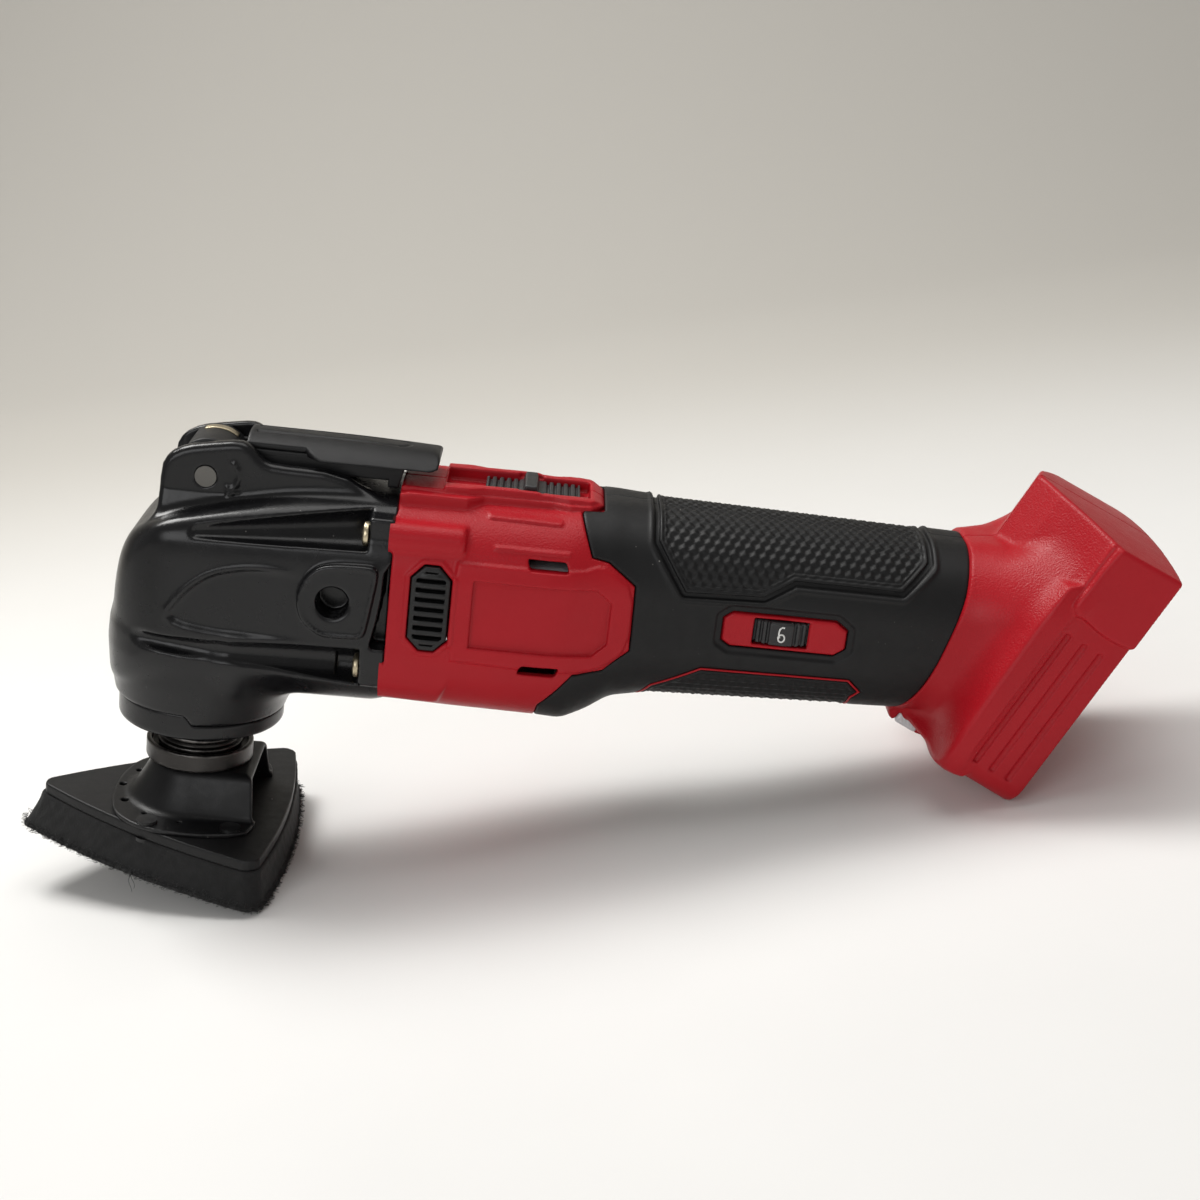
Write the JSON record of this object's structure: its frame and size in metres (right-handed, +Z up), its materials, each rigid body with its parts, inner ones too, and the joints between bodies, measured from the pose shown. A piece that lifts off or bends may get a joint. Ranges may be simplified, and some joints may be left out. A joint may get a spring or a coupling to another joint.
{
  "type": "cordless oscillating multi-tool",
  "caption": "Cordless oscillating multi-tool with a delta sanding pad, accessory release lever, slide switch, speed wheel and an angled slide-in battery foot.",
  "frame": {"origin": "centre of the footprint box on the table on which the tool lies, resting on the pad's heel and the lower edge of the battery foot", "axes": "+X along the tool from the pad to the battery foot, level with the table; +Z up; -Y is the side with the speed wheel. The output spindle leans 13.91 degrees from +Z towards +X"},
  "size_m": [0.3412, 0.088, 0.1321],
  "materials": {
    "cast_black": "satin black coated aluminium die-casting",
    "dark_steel": "blackened turned steel with light scratches",
    "bright_steel": "ground steel",
    "yellow_zinc": "yellow zinc plated steel",
    "stamped_black": "black stamped sheet",
    "lever_black": "fine matte black plastic",
    "housing_red": "fine-grained satin red plastic",
    "grip_rubber": "soft black moulded rubber, textured insets",
    "vent_black": "black ribbed plastic",
    "pad_plastic": "black moulded plastic",
    "pad_foam": "dense black foam",
    "hook_fabric": "black hook-and-loop pile",
    "spring_steel": "spring steel",
    "bearing_steel": "polished bearing steel",
    "alloy": "machined light alloy",
    "can_steel": "zinc plated can",
    "magnet_grey": "sintered ferrite",
    "lamination": "stacked laminations",
    "copper": "enamelled copper wire",
    "fan_plastic": "moulded fan",
    "bronze": "sintered bronze",
    "carbon": "pressed carbon",
    "switch_black": "black ribbed slider",
    "black_plastic": "plain black plastic",
    "board_green": "fibreglass board",
    "component_dark": "electronic parts",
    "wire_red": "insulated wire",
    "contact_brass": "plated contact blades",
    "lens_clear": "clear moulded lens",
    "lamp_white": "lamp chip carrier"
  },
  "bodies": {
    "housing": {"gear_housing": "cast_black", "nose_ring": "cast_black", "nose_ring_screws": "dark_steel", "spindle_seal": "grip_rubber", "head_screws": "yellow_zinc", "lower_bearing_outer_ring": "bearing_steel", "upper_bearing_outer_ring": "bearing_steel", "motor_bearing_outer_ring": "bearing_steel", "front_bearing_plate": "alloy", "motor_can": "can_steel", "motor_magnets": "magnet_grey", "motor_end_cap": "black_plastic", "rear_bush": "bronze", "carbon_brushes": "carbon", "brush_springs": "spring_steel", "housing_left": "housing_red", "housing_right": "housing_red", "housing_screws": "dark_steel", "grip_overmould_left": "grip_rubber", "grip_overmould_right": "grip_rubber", "vent_insert_left": "vent_black", "vent_insert_right": "vent_black", "lever_pin": "bright_steel", "switch_body": "black_plastic", "circuit_board": "board_green", "board_components": "component_dark", "speed_potentiometer": "black_plastic", "lead_wires": "wire_red", "terminal_block": "black_plastic", "contact_blades": "contact_brass", "lamp_lens": "lens_clear", "lamp_module": "lamp_white"},
    "spindle": {"spindle": "dark_steel", "drive_fork": "dark_steel", "lower_bearing_inner_ring": "bearing_steel", "upper_bearing_inner_ring": "bearing_steel"},
    "clamp": {"clamp_bolt": "bright_steel", "clamp_nut": "bright_steel", "clamp_spring": "spring_steel", "pad_holder": "stamped_black", "pad_plate": "pad_plastic", "pad_foam": "pad_foam", "hook_layer": "hook_fabric", "pad_rivets": "stamped_black"},
    "lever": {"lever_cam": "bright_steel", "lever_arm": "bright_steel", "lever_rivet": "bright_steel", "lever_cover": "lever_black"},
    "rotor": {"rotor_shaft": "bright_steel", "armature_core": "lamination", "armature_windings": "copper", "commutator": "copper", "cooling_fan": "fan_plastic", "eccentric": "bright_steel", "eccentric_bearing": "bearing_steel", "motor_bearing_inner_ring": "bearing_steel"},
    "switch": {"switch_slider": "switch_black", "switch_link": "black_plastic"},
    "dial": {"speed_dial": "switch_black", "dial_shaft": "bright_steel"}
  },
  "joints": [
    {"name": "spindle_oscillation", "type": "hinge", "parent": "housing", "child": "spindle", "pos_m": [-0.10674, 0, 0.06533], "axis": [0.2404, 0, 0.9707], "range_deg": [-1.6, 1.6]},
    {"name": "clamp_release", "type": "slide", "parent": "spindle", "child": "clamp", "axis": [-0.2404, 0, -0.9707], "range_m": [0, 0.0025], "stiffness_N_per_m": 2000, "springref_m": -0.004, "deforming": ["clamp_spring"]},
    {"name": "lever_swing", "type": "hinge", "parent": "housing", "child": "lever", "pos_m": [-0.0929, 0, 0.12124], "axis": [0, -1, 0], "range_deg": [0, 115]},
    {"name": "motor_spin", "type": "hinge", "parent": "housing", "child": "rotor", "pos_m": [-0.0214, 0, 0.07716], "axis": [0.9707, 0, -0.2404], "continuous": true},
    {"name": "power_switch", "type": "slide", "parent": "housing", "child": "switch", "axis": [-0.9707, 0, 0.2404], "range_m": [0, 0.009]},
    {"name": "speed_wheel", "type": "hinge", "parent": "housing", "child": "dial", "pos_m": [0.05965, -0.0112, 0.05709], "axis": [0.2404, 0, 0.9707], "range_deg": [-250, 0]}
  ],
  "couplings": [
    {"joint": "lever_swing", "follows": "clamp_release", "rad_per_m": 802.85}
  ]
}
